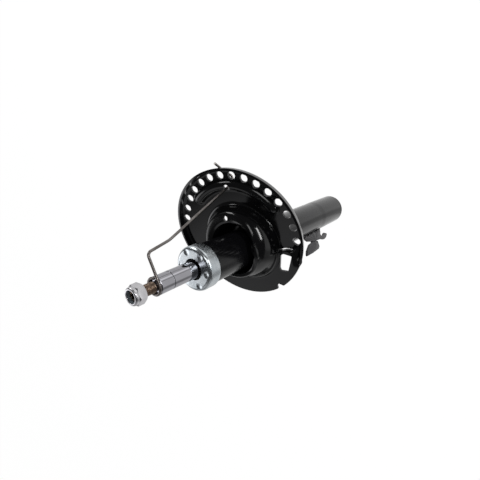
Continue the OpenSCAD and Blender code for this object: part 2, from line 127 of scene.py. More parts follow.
# A section, given as (radius, height) in millimetres, spun about the strut's axis. One
# that isn't closed starts and ends on that axis
def turned(name, section, steps, closed=True):
    section = supported(section)
    nothing_selected()
    bpy.ops.mesh.primitive_circle_add(vertices=len(section), radius=MM)
    made = named(name)
    for v, (r, z) in zip(made.data.vertices, section):
        v.co = (r * MM, 0, z * MM)
    bpy.ops.object.mode_set(mode="EDIT")
    if not closed:
        bpy.ops.mesh.select_all(action="DESELECT")
        for e in bmesh.from_edit_mesh(made.data).edges:
            e.select_set({e.verts[0].index, e.verts[1].index} == {0, len(section) - 1})
        bpy.ops.mesh.delete(type="EDGE")
    bpy.ops.mesh.select_all(action="SELECT")
    bpy.ops.mesh.spin(steps=steps, angle=2 * math.pi, center=(0, 0, 0), axis=(0, 0, 1))
    bpy.ops.object.mode_set(mode="OBJECT")
    faces_outwards(MERGE)
    smooth(made, 32)
    return made


# One step of a finish: a shader node with its settings, and its sockets linked or set
def finish_step(tree, kind, sockets, **settings):
    made = tree.nodes.new("ShaderNode" + kind)
    for key, value in settings.items():
        setattr(made, key, value)
    for key, value in sockets.items():
        if isinstance(value, bpy.types.NodeSocket):
            tree.links.new(value, made.inputs[key])
        else:
            made.inputs[key].default_value = value
    return made


# What a sum, product or other reckoning of two sockets or numbers gives
def reckoned(tree, operation, *values, use_clamp=False):
    return finish_step(tree, "Math", dict(enumerate(values)), operation=operation,
                       use_clamp=use_clamp).outputs["Value"]


# A group that takes named numbers and gives out one, over a piece's own coordinates
def group_of(name, output, *inputs):
    group = bpy.data.node_groups.new(name, "ShaderNodeTree")
    for key in inputs:
        group.interface.new_socket(key, in_out="INPUT", socket_type="NodeSocketFloat")
    group.interface.new_socket(output, in_out="OUTPUT", socket_type="NodeSocketFloat")
    given = group.nodes.new("NodeGroupInput").outputs
    place = group.nodes.new("ShaderNodeTexCoord").outputs["Object"]
    return group, given, place


def give_out(group, socket):
    group.links.new(socket, group.nodes.new("NodeGroupOutput").inputs[0])
    return group


# Value noise in a stated range, for changes of gloss and tone over a surface
def grain_group():
    group, given, place = group_of("uneven_finish", "Value", "Scale", "Low", "High")
    noise = finish_step(group, "TexNoise", {
        "Vector": place, "Scale": given["Scale"], "Detail": 6, "Roughness": 0.62})
    spread = finish_step(group, "MapRange", {
        "Value": noise.outputs["Fac"], "From Min": 0.3, "From Max": 0.7,
        "To Min": given["Low"], "To Max": given["High"]})
    return give_out(group, spread.outputs["Result"])


# Mask of the corners that handling rubs: a rounded copy's normal leaves the true one there
def rub_group():
    group, given, place = group_of("rubbed_edges", "Mask", "Width", "Amount")
    edge = finish_step(group, "Bevel", {"Radius": given["Width"]}, samples=4)
    flat = finish_step(group, "NewGeometry", {})
    likeness = finish_step(group, "VectorMath", {
        0: edge.outputs["Normal"], 1: flat.outputs["Normal"]}, operation="DOT_PRODUCT")
    off = finish_step(group, "MapRange", {
        "Value": likeness.outputs["Value"], "From Min": 0.985, "From Max": 0.80})
    noise = finish_step(group, "TexNoise", {"Vector": place, "Scale": 420, "Detail": 4})
    broken = finish_step(group, "MapRange", {
        "Value": noise.outputs["Fac"], "From Min": 0.42, "From Max": 0.62})
    mask = reckoned(group, "MULTIPLY", off.outputs["Result"], broken.outputs["Result"])
    return give_out(group, reckoned(group, "MULTIPLY", mask, given["Amount"]))


# Height field: soft waves of a sprayed coat, with fine specks of dust under it
def coat_group():
    group, given, place = group_of("sprayed_coat", "Height", "Peel", "Specks")
    peel = finish_step(group, "TexNoise", {"Vector": place, "Scale": 380, "Detail": 2})
    dust = finish_step(group, "TexVoronoi", {"Vector": place, "Scale": 260})
    speck = finish_step(group, "MapRange", {
        "Value": dust.outputs["Distance"], "From Min": 0.10, "From Max": 0.0})
    waves = reckoned(group, "MULTIPLY", peel.outputs["Fac"], given["Peel"])
    specks = reckoned(group, "MULTIPLY", speck.outputs["Result"], given["Specks"])
    return give_out(group, reckoned(group, "ADD", waves, specks))


GRAIN = grain_group()
RUB = rub_group()
COAT = coat_group()


# A group's one output, once the group is placed in a finish with its own values
def placed(tree, group, **values):
    return finish_step(tree, "Group", values, node_tree=group).outputs[0]


def material(name, colour, metallic, roughness, others=()):
    made = bpy.data.materials.new(name)
    made.use_nodes = True
    surface = made.node_tree.nodes["Principled BSDF"].inputs
    surface["Base Color"].default_value = (*colour, 1)
    surface["Metallic"].default_value = metallic
    surface["Roughness"].default_value = roughness
    for key, value in dict(others).items():
        surface[key].default_value = value
    return made


def scaled(colour, gain):
    return tuple(min(1, c * gain) for c in colour)


def blend_colour(tree, mask, low, high):
    low, high = [(*c, 1) if isinstance(c, tuple) else c for c in (low, high)]
    mix = finish_step(tree, "Mix", {"A": low, "B": high, "Factor": mask}, data_type="RGBA")
    return mix.outputs["Result"]


# Leads a finish's colour, roughness and fine relief, of a depth in metres, to its shader
def finished(made, colour, roughness, height, depth):
    tree = made.node_tree
    bump = finish_step(tree, "Bump", {"Height": height, "Distance": depth})
    surface = tree.nodes["Principled BSDF"].inputs
    tree.links.new(colour, surface["Base Color"])
    tree.links.new(roughness, surface["Roughness"])
    tree.links.new(bump.outputs["Normal"], surface["Normal"])
    return made


# Black paint: dark base, roughness that drifts, sprayed waves, and grey rubs on the corners
def black_paint(name, colour, low, high, peel, rubs, others=()):
    made = material(name, colour, 0.0, (low + high) / 2, others)
    tree = made.node_tree
    rubbed_grey = (0.11, 0.11, 0.115)
    roughness = placed(tree, GRAIN, Scale=24.0, Low=low, High=high)
    tone = placed(tree, GRAIN, Scale=60.0, Low=0.0, High=1.0)
    edges = placed(tree, RUB, Width=0.0006, Amount=rubs)
    coat = placed(tree, COAT, Peel=peel, Specks=peel * 0.5)
    drift = blend_colour(tree, tone, colour, scaled(colour, 1.45))
    base = blend_colour(tree, edges, drift, rubbed_grey)
    return finished(made, base, roughness, coat, 0.00006)


tube_paint = black_paint("tube_satin_black", (0.006, 0.006, 0.007), low=0.13, high=0.22,
                         peel=0.4, rubs=0.6, others={"Specular IOR Level": 0.38})


def dress(obj, finish, body, *nodes, slot):
    obj.data.materials.clear()
    obj.data.materials.append(finish)
    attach(obj, body)
    if nodes:
        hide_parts(*nodes)


tube_section = section_of([
    (22.5, 60, 0), (22.5, 6.05, 0), (24.1, 6.05, 0), (24.5, 6.5, 0.2), (24.5, 75, 0),
    (24.44, 77, 0), (24.3, 81, 0), (24.16, 85, 0), (24.1, 88, 0), (24.1, 140, 0),
    (24.1, 220, 0), (24.1, 300, 0), (24.1, 370.5, 3),
    (18.1, 370.5, 0.3), (18.1, 368.5, 0), (22.5, 368.5, 1), (22.5, 200, 0)
])
outer_tube = turned("outer_tube", tube_section, 160)
dress(outer_tube, tube_paint, "tube", "strut_tube", slot="tube_paint")

# ---------------------------------------------------------------- bottom plug
# A dished plug closes the tube's lower end. It is welded in from inside and painted
# with the tube, so it only needs the tube's finish.


def finish_node(node, finish):
    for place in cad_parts[node].material_slots:
        place.material = finish


finish_node("bottom_cap", tube_paint)

# ---------------------------------------------------------------- damper inside
# The working parts are sintered iron, cold drawn tube, blued spring discs, a lined
# bronze bush and a nitrile seal. They are dry bright metal with a light oil film.


def plain_finish(name, colour, low, high, speck, metallic):
    made = material(name, colour, metallic, (low + high) / 2)
    tree = made.node_tree
    roughness = placed(tree, GRAIN, Scale=90.0, Low=low, High=high)
    tone = placed(tree, GRAIN, Scale=220.0, Low=0.0, High=1.0)
    coat = placed(tree, COAT, Peel=speck, Specks=speck)
    base = blend_colour(tree, tone, colour, scaled(colour, 0.72))
    return finished(made, base, roughness, coat, 0.00005)


# Name, colour, roughness from and to, speck, how metallic, and the pieces that have it
for name, colour, low, high, speck, metallic, pieces in (
    ("drawn_steel_bright", (0.52, 0.52, 0.53), 0.22, 0.38, 0.4, 1.0,
     ("pressure_tube", "base_valve_rivet", "seal_washer", "piston_nut", "rebound_stop")),
    ("sintered_iron_grey", (0.20, 0.20, 0.19), 0.5, 0.7, 1.5, 1.0,
     ("base_valve_body", "rod_guide", "piston")),
    ("spring_disc_blued", (0.24, 0.27, 0.33), 0.2, 0.32, 0.2, 1.0,
     ("base_valve_discs", "intake_plate", "intake_spring", "compression_discs",
      "rebound_discs")),
    ("bush_bronze_lined", (0.42, 0.28, 0.16), 0.35, 0.5, 0.6, 1.0, ("guide_bush",)),
    ("seal_nitrile_black", (0.018, 0.018, 0.018), 0.45, 0.65, 1.0, 0.0, ("oil_seal",)),
    ("band_ptfe_green", (0.05, 0.08, 0.06), 0.4, 0.55, 0.5, 0.0, ("piston_band",)),
    ("buffer_plastic_black", (0.03, 0.03, 0.033), 0.4, 0.55, 0.5, 0.0, ("rebound_buffer",))
):
    finish = plain_finish(name, colour, low, high, speck, metallic)
    for piece in pieces:
        finish_node(piece, finish)

# ---------------------------------------------------------------- spring seat
# The seat is one pressing of 3 mm sheet, welded square to the tube by a funnel and
# collar while its pan leans. It has a lip, a groove with drain holes, a ridge and a dome.

SHEET = 3.0
TILT = math.radians(17.1)
SEAT_X, SEAT_Z = 17.6, 287.2
COLUMNS = 288


# The pan's own frame: u and v across it and h out of it, from the middle of its rim
def pan_to_strut(u, v, h):
    return Vector((SEAT_X + u * math.cos(TILT) - h * math.sin(TILT), v,
                   SEAT_Z + u * math.sin(TILT) + h * math.cos(TILT)))


def strut_to_pan(p):
    x, z = p.x - SEAT_X, p.z - SEAT_Z
    return (x * math.cos(TILT) + z * math.sin(TILT), p.y,
            z * math.cos(TILT) - x * math.sin(TILT))


# The dome has a level top and a flank that is round about its own axis. The flank's
# course is given as (radius, height), from the foot upwards
DOME_U, DOME_TOP, DOME_R = -11.7, 304.4, 50.0
DOME_COURSE = [(50, -40), (50, -3), (49.2, 2.5), (47.6, 7), (45.2, 11.4), (42.4, 15.4),
               (39.2, 19), (35.6, 22), (30, 25.6), (20, 30)]


def level_cut(u):
    return (DOME_TOP - SEAT_Z - u * math.sin(TILT)) / math.cos(TILT)


def dome_radius(h):
    for (r0, h0), (r1, h1) in zip(DOME_COURSE, DOME_COURSE[1:]):
        if h <= h1:
            return r0 + (r1 - r0) * (h - h0) / (h1 - h0)
    return DOME_COURSE[-1][0]


def dome_height(r):
    for (r0, h0), (r1, h1) in zip(DOME_COURSE[1:], DOME_COURSE[2:]):
        if r >= r1:
            return h0 + (h1 - h0) * (r0 - r) / (r0 - r1)
    return DOME_COURSE[-1][1]


def top_height(u, v):
    return min(level_cut(u), dome_height(math.hypot(u - DOME_U, v)))


# A share is held between 0 and 1, and eased where it reaches them
def limited(w):
    return min(max(w, 0), 1)


def eased(w):
    return w * w * (3 - 2 * w)


# The higher of two heights, with a fillet where they cross
def smooth_max(a, b, k):
    t = max(k - abs(a - b), 0) / k
    return max(a, b) + t * t * k / 4


# The ramp rises towards one bearing, between two others. Its free edge is given from the
# dome outwards, and turns into a soft step before the rim
RAMP_RISE, RAMP_BEARING, RAMP_BLEND = math.tan(math.radians(6.1)), math.radians(200), 0.6
RAMP_FROM, RAMP_TO = 110, 250
FREE_EDGE = [(-36.0, -38.0), (-38.4, -43.0), (-40.0, -47.5), (-40.4, -52.5), (-44.6, -64.0),
             (-50.0, -74.0), (-54.0, -82.0)]
SHARP_STEP, SOFT_STEP, SOFT_FROM, SOFT_OVER = 0.4, 24.0, 74.5, 8.0


# From 0 in the groove to 1 on the ramp
def on_ramp(u, v):
    angle = math.degrees(math.atan2(v, u)) % 360
    if not RAMP_FROM <= angle <= RAMP_TO:
        return 0.0
    if v > FREE_EDGE[0][1]:
        return 1.0
    edge_u = FREE_EDGE[-1][0]
    for (u0, v0), (u1, v1) in zip(FREE_EDGE, FREE_EDGE[1:]):
        if v1 <= v <= v0:
            edge_u = u0 + (u1 - u0) * (v - v0) / (v1 - v0)
    reach = SHARP_STEP + SOFT_STEP * limited((math.hypot(u, v) - SOFT_FROM) / SOFT_OVER)
    return eased(limited((edge_u - u) / reach * 0.5 + 0.5))


# The floor turns up into the dome's flank: widely on the ramp, and tightly in the groove.
# The turn tightens over some degrees from one bearing on, and is tight up to another
FOOT_WIDE, FOOT_TIGHTER, FOOT_ON_RAMP = 5.5, 3.2, 8.5
TIGHT_FROM, TIGHT_OVER, TIGHT_TO = -20, 40.0, -140


def foot_reach(u, v):
    a = math.degrees(math.atan2(v, u - DOME_U))
    groove_side = limited((TIGHT_FROM - a) / TIGHT_OVER) if a > TIGHT_TO else 0.0
    ramp = on_ramp(u, v)
    return (FOOT_WIDE - FOOT_TIGHTER * groove_side) * (1 - ramp) + FOOT_ON_RAMP * ramp


# The ridge is a round swell, sunk a little into the groove's floor, from one bearing to
# another. Beyond its flank it runs out straight
FLOOR_H = -8.0
RIDGE_R, RIDGE_FROM, RIDGE_TO = 67.0, -78.0, 23.0
RIDGE_ROUND, RIDGE_SUNK, RIDGE_FLANK, RIDGE_BLEND = 7.0, 1.0, 6.9, 2.4


def floor_height(u, v):
    away = u * math.cos(RAMP_BEARING) + v * math.sin(RAMP_BEARING)
    base = FLOOR_H + smooth_max(0.0, away * RAMP_RISE, RAMP_BLEND) * on_ramp(u, v)
    reach = foot_reach(u, v)
    clear = min(max(math.hypot(u - DOME_U, v) - DOME_R, 0), reach)
    base += reach - math.sqrt(reach * reach - (reach - clear) ** 2)
    angle = math.degrees(math.atan2(v, u))
    if RIDGE_FROM <= angle <= RIDGE_TO:
        off = abs(math.hypot(u, v) - RIDGE_R)
    else:
        off = min(math.hypot(u - RIDGE_R * math.cos(math.radians(a)),
                             v - RIDGE_R * math.sin(math.radians(a)))
                  for a in (RIDGE_FROM, RIDGE_TO))
    if off < RIDGE_FLANK:
        swell = math.sqrt(RIDGE_ROUND ** 2 - off * off) - RIDGE_SUNK
    else:
        swell = -0.5 - (off - RIDGE_FLANK) * 1.2
    return base + smooth_max(0.0, swell, RIDGE_BLEND)


# The collar and the foot of the funnel, as (centre's x, radius, z). From there the funnel
# widens evenly up to its rolled mouth
COLLAR_COURSE = ((0, 24.3, 258), (0, 24.3, 261), (0, 24.3, 264), (0, 24.3, 266.4),
                 (0.3, 24.5, 267.9), (1.2, 25.6, 268.8), (2.2, 27.0, 269.2),
                 (2.8, 28.0, 270.1), (3, 28.5, 271.8))
FUNNEL_X, FUNNEL_R, FUNNEL_Z = COLLAR_COURSE[-1]
FUNNEL_FLARE, FUNNEL_RISE = 4.6, 28.2
MOUTH_R, MOUTH_ROLL = 33.2, 3.4
# The lip bends up from the floor, leans out and ends in the rim's plane. Between its two
# ends, over the ramp, the sheet runs on flat to the edge instead
BEND_R, LIP_R, LIP_BEND, LIP_LEAN, FLAT_STEP = 83.4, 87.55, 3.0, 62, 0.64
LIP_ENDS, LIP_STARTS = 117, 224
# Rows of points in each stretch of the skin, in the order of its course
FUNNEL_ROWS, MOUTH_ROWS, TOP_ROWS, BROW_ROWS, FLANK_ROWS = 12, 6, 14, 9, 7
FLOOR_ROWS, BEND_ROWS, LIP_ROWS = 40, 5, 5


# One line down the skin, from the collar's foot to the top of the lip, at one angle
def skin_line(angle):
    c, s = math.cos(angle), math.sin(angle)
    line = [Vector((x + r * c, r * s, z)) for x, r, z in COLLAR_COURSE]
    for k in range(1, FUNNEL_ROWS):
        w = k / FUNNEL_ROWS
        r = FUNNEL_R + FUNNEL_FLARE * w
        line.append(Vector((FUNNEL_X + r * c, r * s, FUNNEL_Z + FUNNEL_RISE * w)))
    # Rolled mouth of the funnel
    for k in range(MOUTH_ROWS + 1):
        turn = math.radians(90 * k / MOUTH_ROWS)
        r = MOUTH_R + MOUTH_ROLL * (1 - math.cos(turn))
        x, y = FUNNEL_X + r * c, r * s
        z = DOME_TOP
        for _ in range(8):
            u, v, h = strut_to_pan(Vector((x, y, z)))
            z = pan_to_strut(u, v, top_height(u, v)).z
        line.append(Vector((x, y, z - MOUTH_ROLL * (1 - math.sin(turn)))))
    funnel_end = len(line)
    # Across the level top, to the brow where it meets the flank. The brow's height is
    # found by halving the way to it again and again
    u0, v0, _ = strut_to_pan(line[-1])
    brow_h = 10.0
    for _ in range(40):
        r = dome_radius(brow_h)
        brow_h = (brow_h + min(24.0, level_cut(DOME_U + r * c))) / 2
    brow_r = dome_radius(brow_h)
    u1, v1 = DOME_U + brow_r * c, brow_r * s
    for k in range(1, TOP_ROWS):
        w = k / TOP_ROWS
        u, v = u0 + (u1 - u0) * w, v0 + (v1 - v0) * w
        line.append(pan_to_strut(u, v, top_height(u, v)))
    # Down the flank to the floor
    foot_u, foot_v = DOME_U + (DOME_R + 0.1) * c, (DOME_R + 0.1) * s
    foot_h = floor_height(foot_u, foot_v)
    middle_h = (brow_h + FLOOR_H) / 2 + 3
    for top_h, low_h, rows in ((brow_h, middle_h, BROW_ROWS), (middle_h, foot_h, FLANK_ROWS)):
        for k in range(rows):
            h = top_h + (low_h - top_h) * k / rows
            r = dome_radius(h)
            line.append(pan_to_strut(DOME_U + r * c, r * s, h))
    # Across the groove, the ridge or the ramp, with its points closer near the dome
    for k in range(FLOOR_ROWS):
        w = (k / (FLOOR_ROWS - 1)) ** 1.35
        u = foot_u + (BEND_R * c - foot_u) * w
        v = foot_v + (BEND_R * s - foot_v) * w
        line.append(pan_to_strut(u, v, floor_height(u, v)))
    floor_end = len(line)
    # Up the lip, or flat out to the edge
    bearing = math.degrees(angle) % 360
    lipped = eased(max(limited((LIP_ENDS - bearing) / 6), limited((bearing - LIP_STARTS) / 7)))
    for k in range(1, BEND_ROWS + LIP_ROWS + 1):
        lean = math.radians(min(k / BEND_ROWS, 1) * LIP_LEAN)
        lip_r = BEND_R + LIP_BEND * math.sin(lean)
        lip_h = FLOOR_H + LIP_BEND * (1 - math.cos(lean))
        if k > BEND_ROWS:
            lip_r += (LIP_R - lip_r) * (k - BEND_ROWS) / LIP_ROWS
            lip_h -= lip_h * (k - BEND_ROWS) / LIP_ROWS
        flat_r = BEND_R + FLAT_STEP * k
        r = lip_r * lipped + flat_r * (1 - lipped)
        h = lip_h * lipped + floor_height(flat_r * c, flat_r * s) * (1 - lipped)
        line.append(pan_to_strut(r * c, r * s, h))
    # The press rounds the brow and the foot: neighbours are averaged along the line
    for _ in range(14):
        before = [p.copy() for p in line]
        for i in range(funnel_end - 4, floor_end - 36):
            line[i] = before[i] * 0.5 + (before[i - 1] + before[i + 1]) * 0.25
    return line


# A grid, wrapped round the axis: each of its columns becomes one of the lines
def wrapped(name, lines):
    columns, rows = len(lines), len(lines[0])
    nothing_selected()
    bpy.ops.mesh.primitive_grid_add(x_subdivisions=columns, y_subdivisions=rows - 1, size=2)
    made = named(name)
    for v in made.data.vertices:
        i = round((v.co.x + 1) / 2 * columns)
        j = round((v.co.y + 1) / 2 * (rows - 1))
        v.co = lines[i % columns][j] * MM
    faces_outwards(MERGE / 10)
    return made


def apply_all(obj):
    only(obj)
    for m in list(obj.modifiers):
        bpy.ops.object.modifier_apply(modifier=m.name)


# Breaks the edges that turn by more than an angle in degrees
def break_edges(obj, width, segments, sharp_from):
    edges = obj.modifiers.new("broken_edges", "BEVEL")
    edges.width = width * MM
    edges.segments = segments
    edges.limit_method = "ANGLE"
    edges.angle_limit = math.radians(sharp_from)
    apply_all(obj)


skin = [skin_line(2 * math.pi * (i + 0.5) / COLUMNS) for i in range(COLUMNS)]
seat = wrapped("seat_pressing", skin)
# The skin's upper side faces away from the sheet, which is added below it
if sum(f.normal.z * f.area for f in seat.data.polygons) < 0:
    bpy.ops.object.mode_set(mode="EDIT")
    bpy.ops.mesh.select_all(action="SELECT")
    bpy.ops.mesh.flip_normals()
    bpy.ops.object.mode_set(mode="OBJECT")
wall = seat.modifiers.new("sheet", "SOLIDIFY")
wall.thickness = SHEET * MM
wall.offset = -1
wall.use_even_offset = False
break_edges(seat, 0.55, 3, 60)

pan_turn = Matrix.Translation(pan_to_strut(0, 0, 0) * MM) @ Matrix.Rotation(-TILT, 4, "Y")


def joined(name, parts):
    nothing_selected()
    for p in parts:
        p.select_set(True)
    bpy.context.view_layer.objects.active = parts[0]
    bpy.ops.object.join()
    return named(name)


# A flat outline in millimetres, filled and raised into a block
def block(name, outline, low, high):
    nothing_selected()
    bpy.ops.mesh.primitive_circle_add(vertices=len(outline), radius=MM, fill_type="NGON")
    made = named(name)
    for v, (x, y) in zip(made.data.vertices, outline):
        v.co = (x * MM, y * MM, low * MM)
    bpy.ops.object.mode_set(mode="EDIT")
    bpy.ops.mesh.select_all(action="SELECT")
    bpy.ops.mesh.extrude_region_move(
        TRANSFORM_OT_translate={"value": (0, 0, (high - low) * MM)})
    bpy.ops.object.mode_set(mode="OBJECT")
    faces_outwards()
    return made


def punch(x, y, diameter, low, high, sides=40):
    nothing_selected()
    bpy.ops.mesh.primitive_cylinder_add(
        vertices=sides, radius=diameter / 2 * MM, depth=(high - low) * MM,
        location=(x * MM, y * MM, (low + high) / 2 * MM))
    made = named("punch")
    bpy.ops.object.transform_apply(location=True, rotation=True, scale=True)
    return made


def around(radius, degrees):
    return radius * math.cos(math.radians(degrees)), radius * math.sin(math.radians(degrees))


def smoothed_outline(points, radius):
    ring = points[-1:] + points + points[:1]
    return [(p.x, p.y) for p in rounded([(*p, radius) for p in ring], 15)[1:-1]]


def cut(obj, tool, operation="DIFFERENCE"):
    only(obj)
    knife = obj.modifiers.new("punch", "BOOLEAN")
    knife.operation = operation
    knife.solver = "MANIFOLD"
    knife.object = tool
    bpy.ops.object.modifier_apply(modifier=knife.name)
    bpy.data.objects.remove(tool)


# Drain holes, as (radius, bearing) in the pan, and the hole that the wire's leg passes
DRAINS = [(80.4, 55.6), (79.5, 43.9), (79.1, 31.4), (79.4, 19.3), (79.7, 7.2), (79.6, -4.4),
          (79.3, -16.2), (78.9, -28.0), (78.5, -40.0), (78.0, -52.0), (77.7, -64.4),
          (77.7, -76.8), (77.9, -89.6), (78.5, -102.7), (79.5, -116.2)]
DRAIN_SIZE, WIRE_HOLE_SIZE, LEVEL_HOLE_SIZE = 9.8, 8, 6.5
# Each punch reaches from below the sheet to above it
tools = [punch(*around(r, a), DRAIN_SIZE, -20, 6) for r, a in DRAINS]
tools.append(punch(*around(65, -23), WIRE_HOLE_SIZE, -24, 6))
window = smoothed_outline([
    (-44.5, -45), (-43.6, -49.3), (-49.4, -59), (-57.6, -52.4), (-68.3, -43.4),
    (-64.8, -34), (-60.9, -34.6)
], 1.2)
rim_notch = smoothed_outline([
    (-99, -11.8), (-89.8, -15.3), (-84, -17.2), (-81.5, -21), (-84, -24.6), (-86, -27.5),
    (-99, -33)
], 1.0)
slit = [(-38.0, -43.6), (-39.2, -47.5), (-39.2, -52.2), (-43.5, -63.5), (-44.9, -64.6),
        (-45.5, -63.6), (-41.6, -52.5), (-41.2, -47.2), (-39.4, -43.4)]
tools += [block("punch", outline, -16, 12) for outline in (window, rim_notch, slit)]
cutter = joined("seat_punches", tools)
cutter.data.transform(pan_turn)
level_x, level_y = around(38, -13)
level_punch = punch(5 + level_x, level_y, LEVEL_HOLE_SIZE, DOME_TOP - 8, DOME_TOP + 4)
cut(seat, joined("seat_punches", [cutter, level_punch]))
smooth(seat, 38)
seat_gloss = black_paint("seat_gloss_black", (0.0040, 0.0040, 0.0044), low=0.09, high=0.16,
                         peel=0.14, rubs=0.35,
                         others={"Coat Weight": 0.25, "Coat Roughness": 0.08})
dress(seat, seat_gloss, "tube", "spring_seat", slot="gloss_black")

# ---------------------------------------------------------------- seat weld
# A robot lays one fillet round the foot of the collar. The bead shows its ripples
# through the paint.

BEAD_ROOT_R, BEAD_TOP = 24.3, 257.9
RIPPLES, RIPPLE_DEPTH, RIPPLE_SLANT = 48, 0.012, 1.8
bead = turned("seat_weld_bead", section_of([
    (24.15, 258, 0), (24.15, 254.9, 0), (25.0, 255.3, 0.4), (26.9, 257.0, 0.6),
    (27.3, 257.95, 0)
]), 288)
for v in bead.data.vertices:
    r, a = math.hypot(v.co.x, v.co.y), math.atan2(v.co.y, v.co.x)
    if r > BEAD_ROOT_R * MM and v.co.z < BEAD_TOP * MM:
        wave = math.sin(a * RIPPLES + RIPPLE_SLANT * (v.co.z / MM - 256))
        k = 1 - RIPPLE_DEPTH * (0.5 + 0.5 * wave)
        v.co.x, v.co.y = v.co.x * k, v.co.y * k
dress(bead, tube_paint, "tube", "seat_weld", slot="gloss_black")

# ---------------------------------------------------------------- hose bracket
# The hose bracket is a laser-cut plate that stands out from the tube, with an open hook
# for the hose's grommet. A second, thicker tab with rounded corners is welded beside it.

BRACKET_BEARING = Matrix.Rotation(math.radians(-172), 4, "Z")
UPRIGHT = Matrix.Rotation(math.radians(90), 4, "X")


# A plate's outline is given as (distance from the axis, height). Its thickness runs
# across the tube, off the middle to one side
def standing_plate(name, outline, thickness, side, holes=()):
    plate = block(name, outline, -thickness / 2, thickness / 2)
    for hole in holes:
        cut(plate, punch(*hole, -10, 10, 32))
    break_edges(plate, 0.35, 2, 50)
    plate.data.transform(BRACKET_BEARING @ UPRIGHT @ Matrix.Translation((0, 0, -side * MM)))
    smooth(plate, 35)
    return plate


hose_outline = smoothed_outline([
    (24.35, 134.8), (29.5, 135.2), (33.6, 131.5), (36.6, 119.7), (39.8, 102.7), (40.6, 88.7),
    (43.4, 81), (44.2, 76), (42.8, 68), (39.4, 61.2), (37, 60.8), (33.9, 69.1), (36.6, 76.6),
    (36.8, 80.6), (34.2, 81.8), (31.9, 80.4), (29.5, 77.6), (24.35, 75.5)
], 0.7)
hose_plate = standing_plate("hose_bracket_plate", hose_outline, 2.5, 0,
                            [(24.75, z, 4.4) for z in (95.9, 112.9, 125.3)])
bracket_paint = black_paint("bracket_black", (0.056, 0.054, 0.058), low=0.28, high=0.4,
                            peel=1.2, rubs=1.0)
dress(hose_plate, bracket_paint, "tube", "hose_bracket", slot="bracket_paint")

lead_outline = smoothed_outline([
    (39.6, 125.2), (38.4, 113), (33.5, 112), (33.5, 101), (40.4, 100.5), (41.2, 95.6),
    (50.9, 99.0), (53.6, 105.1), (54.6, 128), (54.2, 148.2), (46.6, 140.2)
], 1.6)
lead_plate = standing_plate("lead_bracket_tab", lead_outline, 4, -3.3)
dress(lead_plate, bracket_paint, "tube", "lead_bracket", slot="bracket_paint")

# ---------------------------------------------------------------- bracket welds
# Short stitches of fillet weld run down both sides of the hose bracket's foot.

STITCH_R, STITCH_SIDE, STITCH_PACE = 25.1, 2.15, 0.45
STITCH_START, STITCH_SIZE, STITCH_RIPPLE = 0.5, 1.25, 0.12


def stitch(low, high, side):
    nothing_selected()
    start = (STITCH_R * MM, side * STITCH_SIDE * MM, low * MM)
    bpy.ops.mesh.primitive_circle_add(vertices=14, radius=STITCH_START * MM,
                                      fill_type="NGON", location=start)
    made = named("weld_stitch")
    bpy.ops.object.mode_set(mode="EDIT")
    bpy.ops.mesh.select_all(action="SELECT")
    radius, here = STITCH_START, low
    count = int((high - low) / STITCH_PACE)
    for k in range(1, count + 1):
        w = k / count
        swell = STITCH_SIZE * min(1, math.sqrt(min(w, 1 - w) * 7 + 0.12))
        swell += STITCH_RIPPLE * math.sin(k * 1.9)
        bpy.ops.mesh.extrude_region_move(
            TRANSFORM_OT_translate={"value": (0, 0, (high - low) / count * MM)})
        here += (high - low) / count
        growth = swell / radius
        bpy.ops.transform.resize(value=(growth, growth, 1),
                                 center_override=(start[0], start[1], here * MM))
        radius = swell
    bpy.ops.object.mode_set(mode="OBJECT")
    faces_outwards()
    bpy.ops.object.transform_apply(location=True, rotation=True, scale=True)
    made.data.transform(BRACKET_BEARING)
    return made


stitches = [stitch(low, high, side)
            for low, high in ((77, 92), (100, 109.5), (116.5, 122), (128.5, 133.5))
            for side in (-1, 1)]
welds = joined("bracket_weld_stitches", stitches)
smooth(welds, 60)
dress(welds, tube_paint, "tube", "bracket_welds", slot="tube_paint")

# ---------------------------------------------------------------- striker cap
# The cap is drawn from thin sheet, pressed over the tube's top and zinc plated. Six
# dimples round its hole keep it off the bump stop's face so that oil can leave.

CAP_TOP, CAP_R, CAP_HOLE_R, CAP_SHEET = 374.6, 26.0, 12.3, 1.3
CAP_INNER_R, CAP_INNER_TOP = CAP_R - CAP_SHEET, CAP_TOP - CAP_SHEET
SKIRT_TOP = 366.5
DIMPLE_RING, DIMPLE_R, DIMPLE_DEPTH = 20.2, 3.9, 0.75
# The face has close rings of points under the dimples
outer_face = [(CAP_HOLE_R + 0.32, CAP_TOP)] + [(15.2 + 0.42 * k, CAP_TOP) for k in range(16)]
inner_face = [(r, CAP_INNER_TOP) for r, _ in reversed(outer_face)]
shoulder = section_of([(21.5, CAP_TOP, 0), (CAP_R, CAP_TOP, 4.5), (CAP_R, SKIRT_TOP, 0)])[1:-1]
inner_shoulder = section_of([(21.5, CAP_INNER_TOP, 0), (CAP_INNER_R, CAP_INNER_TOP, 3.2),
                             (CAP_INNER_R, SKIRT_TOP, 0)])[1:-1]
skirt = [(CAP_R, SKIRT_TOP), (CAP_R, 361.5), (25.95, 358.2), (25.8, 357.7), (25.3, 357.6),
         (CAP_INNER_R, 357.9), (CAP_INNER_R, SKIRT_TOP)]
cap_section = (
    [(CAP_HOLE_R, CAP_TOP - 0.3)] + outer_face + shoulder + skirt
    + list(reversed(inner_shoulder)) + inner_face + [(CAP_HOLE_R, CAP_INNER_TOP + 0.3)]
)
cap = turned("striker_cap", cap_section, 240)
for v in cap.data.vertices:
    if v.co.z > (CAP_INNER_TOP - 0.3) * MM:
        for k in range(6):
            x, y = around(DIMPLE_RING, 60 * k)
            off = math.hypot(v.co.x / MM - x, v.co.y / MM - y)
            if off < DIMPLE_R:
                w = 1 - (off / DIMPLE_R) ** 2
                v.co.z -= DIMPLE_DEPTH * w ** 1.15 * MM
smooth(cap, 40)


